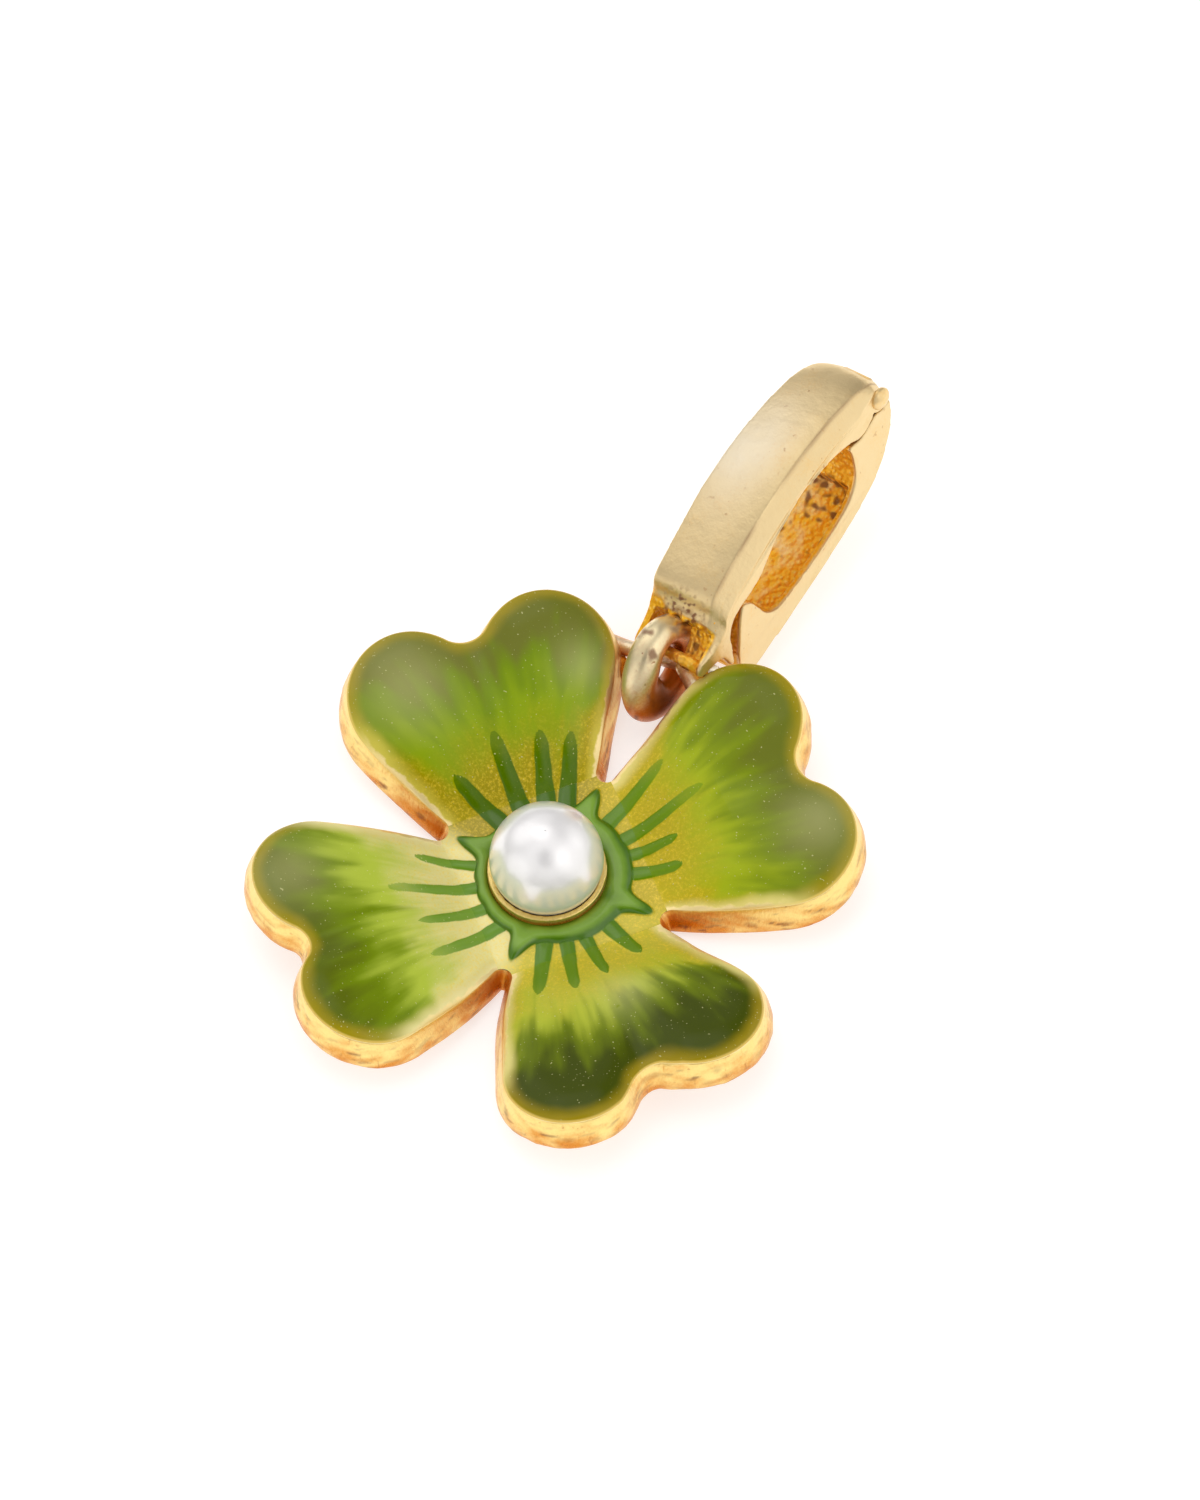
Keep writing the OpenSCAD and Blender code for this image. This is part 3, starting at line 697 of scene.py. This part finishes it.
paint_pool, shade = start_material("centre_enamel")
place = millimetres(shade)
cloud = grain(shade, place, 1.2, detail=2.0)
wet = between(shade, 0.0, 0.25, attribute(shade, "thick"))
crest = attribute(shade, "crest")
# The poured ring is painted lighter on its crest and darker in the moat by the cup: painted highlight and
# shade
crest_light = between(shade, 0.5, 1.05, crest + (cloud - 0.5) * 0.5)
poured = mixed(shade, paint(66, 106, 8), paint(118, 154, 50), crest_light)
green = mixed(shade, attribute(shade, "brush", out=0), poured, between(shade, 0.0, 0.25, crest))
leaf_grain = grain(shade, place, 0.13, detail=4.0, rough=0.75)
foil = mixed(shade, attribute(shade, "foil", out=0), paint(244, 208, 60),
             between(shade, 0.45, 0.7, leaf_grain) * 0.6)
ripple = grain(shade, place, 0.7, detail=1.0) + leaf_grain * (1 - wet) * 0.5
bump = shade.node("ShaderNodeBump", {}, {"Strength": 0.35, "Distance": 0.08 * MM, "Height": ripple})
finish_material(shade, {"Base Color": mixed(shade, foil, green, wet), "Metallic": (1 - wet) * 0.3,
                        "Roughness": 0.35, "Specular IOR Level": 0.0, "Coat Weight": 1.0,
                        "Coat Roughness": 0.06, "Coat IOR": 1.5, "Normal": bump})
# The gold and stroke colours of the leaves, with their painted light and shade, are blended round the middle
to_leaf = np.abs((angle[:, None] - np.array(leaf_angles) + 180) % 360 - 180)
shares = np.clip((52 - to_leaf) / 14, 0, 1)
shares /= shares.sum(1)[:, None]
on_side = np.zeros(2 * len(boundary))
values = {"thick": np.concatenate([np.maximum(mask, ring_mask), on_side]),
          "crest": np.concatenate([ring_mask, on_side])}
for label, k in (("foil", 4), ("brush", 5)):
    blended = shares @ np.array([looks[k] for looks in leaf_looks])
    values[label] = np.vstack([blended, np.zeros((len(on_side), 3))])
centre = make_object("centre_enamel_glaze", points, faces, paint_pool, values)
face_outwards(centre)
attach(centre, "root")
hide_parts("centre_enamel")

# Pearl
# A round bead with a lacquered pearl coat, glued on a peg in its cup.
# The nacre is milky white, a little warmer and softer towards its outline.
nacre, shade = start_material("nacre")
place = millimetres(shade)
cloud = grain(shade, place, 1.5, detail=2.0)
facing = shade.node("ShaderNodeLayerWeight", {}, {"Blend": 0.35}, out=1)
body = mixed(shade, paint(238, 236, 237), paint(245, 243, 244), cloud)
body = mixed(shade, body, paint(238, 234, 222), between(shade, 0.35, 1.0, facing) * 0.7)
bump = shade.node("ShaderNodeBump", {},
                  {"Strength": 0.1, "Distance": 0.05 * MM, "Height": grain(shade, place, 0.5)})
finish_material(shade, {"Base Color": body, "Metallic": 0.4, "Roughness": 0.28, "Coat Weight": 0.6,
                        "Coat Roughness": 0.14, "Coat IOR": 1.6, "Normal": bump})
a = np.radians(np.linspace(-89.5, 89.5, 90))
pearl_profile = pearl_d / 2 * np.column_stack([np.cos(a), np.sin(a)])
pearl = make_object("pearl_bead", *turned(pearl_profile, (cup_at[0], cup_at[1], pearl_z)), nacre)
face_outwards(pearl)
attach(pearl, "root")
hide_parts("pearl")

# Jump ring
# A heavy cast ring, closed round the bar and the crosspiece of the bail, and uneven in thickness.
# It is painted paler on top and deeper amber low down and inside its hole, as painted shade, with a painted
# shadow on the far side of the hole; dark polish stays in its scratches.
ring_d = 5.22
ring_wire = 1.32
ring_lean = math.radians(75.5)
ring_turn = math.radians(-9.9)
ring_axes = np.array(Matrix.Rotation(ring_turn, 3, "Z") @ Matrix.Rotation(ring_lean, 3, "Y"))
ring_hole_r = ring_d / 2 - ring_wire
# Where the bar and the crosspiece of the bail lie against the inside of the ring, in degrees round it
bar_angle = 72
cross_angle = 123.7
ring_steps = 200
wire_steps = 56


def in_ring(angle, reach):
    a = math.radians(angle)
    return ring_axes @ np.array([reach * math.cos(a), reach * math.sin(a), 0])


ring_at = bar_at - in_ring(bar_angle, ring_hole_r - bar_d / 2 - 0.05)
a, b = np.meshgrid(np.linspace(0, 2 * np.pi, ring_steps, endpoint=False),
                   np.linspace(0, 2 * np.pi, wire_steps, endpoint=False), indexing="ij")
near_side = np.exp(-((np.degrees(a) - 215) / 52) ** 2)
far_side = np.exp(-(((np.degrees(a) - 308 + 180) % 360 - 180) / 62) ** 2)
tube = ring_wire / 2 + 0.12 * near_side
flat_tube = tube + 0.42 * far_side
middle = ring_d / 2 - ring_wire / 2 - 0.58 * near_side - 0.6 * far_side
reach = middle + flat_tube * np.cos(b)
ring_points = np.stack([reach * np.cos(a), reach * np.sin(a), tube * np.sin(b)], 2).reshape(-1, 3)
ring_points *= (1 - 0.008 * np.abs(rough(ring_points, 0.9, 2.0)))[:, None]
ring_points = ring_points @ ring_axes.T + ring_at
rows = [ring_points[k:k + wire_steps] for k in range(0, len(ring_points), wire_steps)]
last = len(ring_points) - wire_steps
faces = skin(rows) + [(last + k, last + (k + 1) % wire_steps, (k + 1) % wire_steps, k)
                      for k in range(wire_steps)]
ring_gold = gold("gold_ring", paint(252, 234, 190), paint(206, 112, 16), 0.2, pits=0.7)
far_side, outward, upward = far_side.ravel(), np.cos(b).ravel(), np.sin(b).ravel()
# Deeper amber is painted inside the ring and low down, as painted shade
inside = np.clip(0.3 - outward, 0, 1) + upward ** 6 * 0.15 + far_side * 0.8
low = np.clip(np.clip((2.7 - ring_points[:, 2]) / 1.6, 0, 1) + inside, 0, 1)
stains_and_shade = np.clip(rough(ring_points * (1, 1, 0.4), 0.4, 7.0) * 2.6 - 0.7, 0, 1) * 0.8
# The far side of the hole is painted dark as a painted shadow
stains_and_shade = np.maximum(stains_and_shade, far_side * np.clip(0.9 - 0.8 * outward, 0, 1) * 0.85)
jump_ring = make_object("jump_ring_cast", ring_points, faces, ring_gold, {"hollow": low, "marks_and_shade": stains_and_shade})
face_outwards(jump_ring)
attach(jump_ring, "root")
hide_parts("jump_ring")

# Bail front
# The front band is cast hollow behind a crowned face, with two cheeks and a crosspiece at its foot.
# Its outside is tumbled to a satin, and polish has stayed in the groove along its right edge.
bail_len = 16.6
bail_depth = 6.05
bail_w = 3.6
face_t = 0.85
slot_l = 2.9
cheek_gap = 2.8
hollow_l = 12.6
cross_d = 0.54
pin_d = 0.56
barrel_d = 1.24
hinge_w = 3.1
knuckle_w = 1.3
pin_at = np.array([0.961 * bail_len, 0.57 * bail_depth])
cross_at = np.array([0.09 * bail_len, 0.545 * bail_depth])
front_face = [(.994, .612), (.97, .727), (.898, .846), (.783, .942), (.633, 1), (.482, 1), (.349, .959),
              (.241, .896), (.202, .785), (.166, .702), (.133, .65), (.099, .62), (.075, .594), (.065, .548)]
front_back = [(.065, .548), (.073, .509), (.09, .495), (.111, .484), (.128, .46), (.139, .413), (.142, .355),
              (.143, .306), (.149, .269), (.16, .269), (.171, .344), (.187, .446), (.208, .519),
              (.244, .595), (.289, .615), (.368, .628), (.428, .686), (.488, .747), (.584, .764),
              (.669, .752), (.753, .678), (.807, .603), (.849, .516), (.92, .516)]
half_widths = [(0, .4), (.03, .46), (.15, .47), (.3, .485), (.5, .5), (.7, .49), (.9, .455), (.97, .43),
               (1, .36)]
bail_scale = np.array([bail_len, bail_depth])
bail_axes = np.array(Matrix.Rotation(math.radians(-13.4), 3, "Z") @ Matrix.Rotation(math.radians(-15), 3, "Y")
                     @ Matrix.Rotation(math.radians(12.7), 3, "X"))
cross_in_ring = ring_at + in_ring(cross_angle, ring_hole_r - cross_d / 2 - 0.11)
bail_at = cross_in_ring + bail_axes @ np.array([0.62, -cross_at[0], -cross_at[1]])
width_path = curve(half_widths, 8)


def half_width(y):
    return np.interp(y / bail_len, width_path[:, 0], width_path[:, 1]) * bail_w


def slab(outline, half):
    """A solid with an outline of lengths and depths, as wide on each side of its middle as half gives."""
    outline = np.asarray(outline, float)
    halves = half(outline[:, 0]) if callable(half) else np.full(len(outline), half)
    rings = [np.column_stack([-halves, outline]), np.column_stack([halves, outline])]
    n = len(outline)
    return np.vstack(rings), skin(rings) + [tuple(range(n)), tuple(range(2 * n - 1, n - 1, -1))]


def tube_across(at, d, w):
    a = np.linspace(0, 2 * np.pi, 64, endpoint=False)
    return slab(np.array(at) + d / 2 * np.stack([np.cos(a), np.sin(a)], 1), w / 2)


def block(low, high):
    return slab([(low[1], low[2]), (high[1], low[2]), (high[1], high[2]), (low[1], high[2])], high[0])


def carved(added, cut, voxel, rounds):
    """Solids put together and others taken away, then worked over so that every edge is soft."""

    def solid(part):
        made = make_object("form", *part, acrylic)
        face_outwards(made)
        return made

    body = solid(added[0])
    forms = [(solid(part), "UNION") for part in added[1:]] + [(solid(part), "DIFFERENCE") for part in cut]
    for form, way in forms:
        step = body.modifiers.new("step", "BOOLEAN")
        step.operation = way
        step.solver = "EXACT"
        step.object = form
    worked = body.modifiers.new("worked", "REMESH")
    worked.mode = "VOXEL"
    worked.voxel_size = voxel * MM
    smooth = body.modifiers.new("smooth", "SMOOTH")
    smooth.factor = 0.5
    smooth.iterations = rounds
    mesh = bpy.data.meshes.new_from_object(body.evaluated_get(bpy.context.evaluated_depsgraph_get()))
    for form in [body] + [form for form, way in forms]:
        bpy.data.objects.remove(form)
    points = np.zeros(len(mesh.vertices) * 3)
    mesh.vertices.foreach_get("co", points)
    faces = [tuple(face.vertices) for face in mesh.polygons]
    return points.reshape(-1, 3) / MM, faces


def in_bail(points):
    return points @ bail_axes.T + bail_at


def soft(value, low, high):
    """0 below low and 1 above high, and even between them."""
    return np.clip((value - low) / (high - low), 0, 1)


face_path = curve(np.array(front_face) * bail_scale, 8)
back_path = curve(np.array(front_back) * bail_scale, 8)
hollow_cut = np.vstack([face_path - (0, face_t), [(0, -bail_depth), (hollow_l, -bail_depth)]])
hollow_cut[:, 0] = np.minimum(hollow_cut[:, 0], hollow_l)
points, faces = carved(
    [slab(np.vstack([face_path, back_path[1:-1]]), half_width), tube_across(pin_at, barrel_d, hinge_w)],
    [block((-cheek_gap / 2, -bail_len, -bail_depth), (cheek_gap / 2, slot_l, 3 * bail_depth)),
     slab(hollow_cut, cheek_gap / 2), tube_across(pin_at, barrel_d + 0.1, knuckle_w + 0.1)], 0.05, 14)
# A web of solder fills the foot of the bail behind the ring, with a short wall that closes it
web, web_faces = slab([(1.25, 2.95), (2.2, 3.3), (3.0, 3.95), (3.7, 4.35), (3.7, 3.6), (2.5, 2.75),
                       (1.25, 2.5)], 0.65)
closing = slab([(3.4, 2.55), (3.25, 4.3), (3.85, 4.6), (3.85, 3.25)], cheek_gap / 2 + 0.02)
web, web_faces = carved([(web + (0.85, 0, 0), web_faces), closing], [], 0.045, 4)
web[:, 2] += rough(web * (1.0, 0.25, 1), 0.14, 8.0) * 0.06

# The face is crowned and drops at its right edge, its left foot flares, and its foot is ragged over the ring
x, y, z = points.T
face_top = np.interp(y, face_path[::-1, 0], face_path[::-1, 1])
across = np.clip(x / half_width(y), -1, 1)
crease_at = 0.74
lift = soft(z, face_top - 1.5, face_top) * soft(y, 1.5, 3.5)
crown = np.where(across > 0, 0.3, 0.1) * np.abs(across) ** 2.4
drop = 0.85 * np.clip(across - crease_at, 0, 1) / (1 - crease_at) * soft(-y, -16.2, -14.6)
z -= (crown + drop) * lift
y -= 0.35 * np.abs(across) ** 4 * soft(y, 14.8, 16.6)
flare = np.exp(-((y - 1.6) / 3.4) ** 2) * soft(-across, 0.2, 1)
x -= 0.42 * flare + 0.26 * soft(-across, 0.3, 1) * soft(y, 3.5, 8.0)
y += 0.2 * soft(3.4 - z, 0, 0.8) * soft(y, 1.6, 2.1) * soft(-y, -4.0, -3.0)
at_slot = (soft(z, 3.6, 4.0) * np.exp(-((y - slot_l) / 0.25) ** 2)
           * soft(cheek_gap / 2 - np.abs(x), 0, 0.2))
y += rough(points, 0.35, 14.0) * 0.22 * at_slot
# Dark polish stays in the groove and in specks near the foot; the gold is painted deep where it is hollow, as
# painted shade
crease = (np.exp(-((across - crease_at) / 0.03) ** 2) * soft(z, face_top - 0.6, face_top - 0.35)
          * soft(rough(points, 1.6, 1.0), -0.5, 0.4) * soft(y, 3.2, 4.5) * 0.6)
specks = (soft(rough(points, 0.2, 11.0), 0.05, 0.4) * np.exp(-((y - 3.2) / 0.5) ** 2)
          * np.exp(-((across + 0.05) / 0.5) ** 2) * 1.8)
specks += (soft(rough(points, 0.4, 21.0), 0.0, 0.25) * np.exp(-((y - slot_l - 0.1) / 0.22) ** 2)
           * np.exp(-((across - 0.1) / 0.5) ** 2))
inner = soft(cheek_gap / 2 + 0.16 - np.abs(x), 0, 0.1)
beneath = np.maximum(soft(face_top - face_t + 0.2 - z, 0, 0.12), soft(slot_l + 0.12 - y, 0, 0.1))
beneath *= soft(-y, -hollow_l - 0.1, -hollow_l)
# The left foot and the left side below the face are painted deeper too, as painted shade
left_foot_shade = soft(-x, 1.1, 1.3) * soft(slot_l + 0.6 - y + rough(points, 0.4, 6.0) * 0.4, 0, 0.4)
left_edge_shade = soft(-across, 0.9, 0.99) * soft(face_top - z, 0.15, 0.5) * 0.25
hollow = np.maximum(np.maximum(inner * beneath, left_foot_shade), left_edge_shade)
# A painted highlight: near-white gold on the face, high on the bail
polish_and_highlight = np.exp(-((y - 10.8) / 2.6) ** 2) * soft(z, face_top - 0.5, face_top) * soft(-across, -0.7, 0.5)
cross = tube_across(cross_at, cross_d, cheek_gap + 0.1)
points, faces = join([(points, faces), cross, (web, web_faces)])
foot_points = len(points) - len(hollow)
marks_and_shade = np.concatenate([np.clip(crease + specks, 0, 0.9), np.zeros(len(cross[0])),
                       soft(rough(web, 0.25, 2.0), 0.1, 0.35) * 0.8])
bail_gold = gold("gold_bail", paint(239, 213, 162), paint(246, 180, 30), 0.27, pits=0.35, cast=1.0)
front = make_object("bail_front_cast", in_bail(points), faces, bail_gold,
                    {"hollow": np.concatenate([hollow, np.full(foot_points, 0.8)]), "marks_and_shade": marks_and_shade,
                     "polish_and_highlight": np.concatenate([polish_and_highlight * 0.8, np.zeros(foot_points)])})
face_outwards(front)
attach(front, "root")
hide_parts("bail_front")

# Bail gate
# The gate is a cast channel with a rounded tongue at its foot, hinged at the top between the two barrels.
# Its inside is left rough from the casting and is painted a deep amber, as painted shade over some patina.
gate_hole = [(.92, .504), (.849, .504), (.802, .56), (.795, .47), (.771, .314), (.729, .215), (.669, .165),
             (.542, .152), (.428, .165), (.361, .198), (.328, .289), (.319, .413), (.31, .529), (.286, .59),
             (.264, .545), (.238, .455), (.217, .355), (.204, .264), (.193, .165), (.188, .083),
             (.202, .017), (.235, 0)]
gate_skin = [(.235, 0), (.392, 0), (.572, 0), (.693, .017), (.777, .041), (.843, .091), (.898, .174),
             (.94, .264), (.967, .355), (.982, .43)]
gate_t = 0.55
gate_wall = 0.42
channel_from = 5.65
channel_to = 12.3
hole_path = curve(np.array(gate_hole) * bail_scale, 8)
skin_path = curve(np.array(gate_skin) * bail_scale, 8)
channel_cut = np.vstack([skin_path + (0, gate_t), [(bail_len, bail_depth), (0, bail_depth)]])
channel_cut[:, 0] = np.clip(channel_cut[:, 0], channel_from, channel_to)
points, faces = carved(
    [slab(np.vstack([hole_path, skin_path[1:]]), half_width)],
    [tube_across(pin_at, barrel_d + 0.2, 2 * bail_w), slab(channel_cut, bail_w / 2 - gate_wall)], 0.05, 14)
barrel = tube_across(pin_at, barrel_d, knuckle_w)
arm = slab([pin_at, (.93 * bail_len, .42 * bail_depth), (.97 * bail_len, .42 * bail_depth)], knuckle_w / 2)
# The channel floor and the inside of the loop are painted deep gold as painted shade, deepest by the walls,
# and dark patches grow towards the hinge
x, y, z = points.T
floor_line = np.interp(y, skin_path[:, 0], skin_path[:, 1])
inner = (soft(bail_w / 2 - gate_wall + 0.12 - np.abs(x), 0, 0.1)
         * soft(z, floor_line + gate_t - 0.2, floor_line + gate_t - 0.1)
         * soft(y, channel_from - 0.15, channel_from) * soft(-y, -channel_to - 0.15, -channel_to))
in_loop = soft(0.3 - distances(points[:, 1:], hole_path), 0, 0.15)
in_loop *= soft(half_width(y) - 0.1 - np.abs(x), 0, 0.1)
wall_shade = 0.62 + 0.45 * np.maximum(soft(x, 0.3, 1.2), soft(-x, 0.7, 1.3)) + rough(points, 0.5, 3.0) * 0.5
hollow = np.maximum(inner * np.clip(wall_shade, 0, 1), in_loop * 0.9)
y -= 0.35 * soft(4.1 - y, 0, 1.0) * soft(2.6 - z, 0, 1.0)
dark_patches = inner * soft(rough(points, 0.35, 5.0) + soft(y, 8.5, 12.0) * 0.5, 0.5, 0.85) * 0.8
points, faces = join([(points, faces), barrel, arm])
hinge_points = len(points) - len(hollow)
gate = make_object("bail_gate_cast", in_bail(points), faces, bail_gold,
                   {"hollow": np.concatenate([hollow, np.full(hinge_points, 0.3)]),
                    "marks_and_shade": np.concatenate([dark_patches, np.zeros(hinge_points)])})
face_outwards(gate)
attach(gate, "gate")
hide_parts("bail_gate")

# Hinge pin
# A short gold plated wire, pressed through the barrels.
# Its near end is spread into a low round head.
head = rod((hinge_w / 2 - 0.1, *pin_at), (hinge_w / 2 + 0.3, *pin_at),
           [0.5, 0.52, 0.53, 0.5, 0.42, 0.28, 0.1])
points, faces = join([tube_across(pin_at, pin_d, hinge_w), head])
pin = make_object("hinge_pin_wire", in_bail(points), faces, bail_gold,
                  {"hollow": np.full(len(points), 0.2), "marks_and_shade": np.zeros(len(points))})
face_outwards(pin)
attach(pin, "root")
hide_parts("hinge_pin")
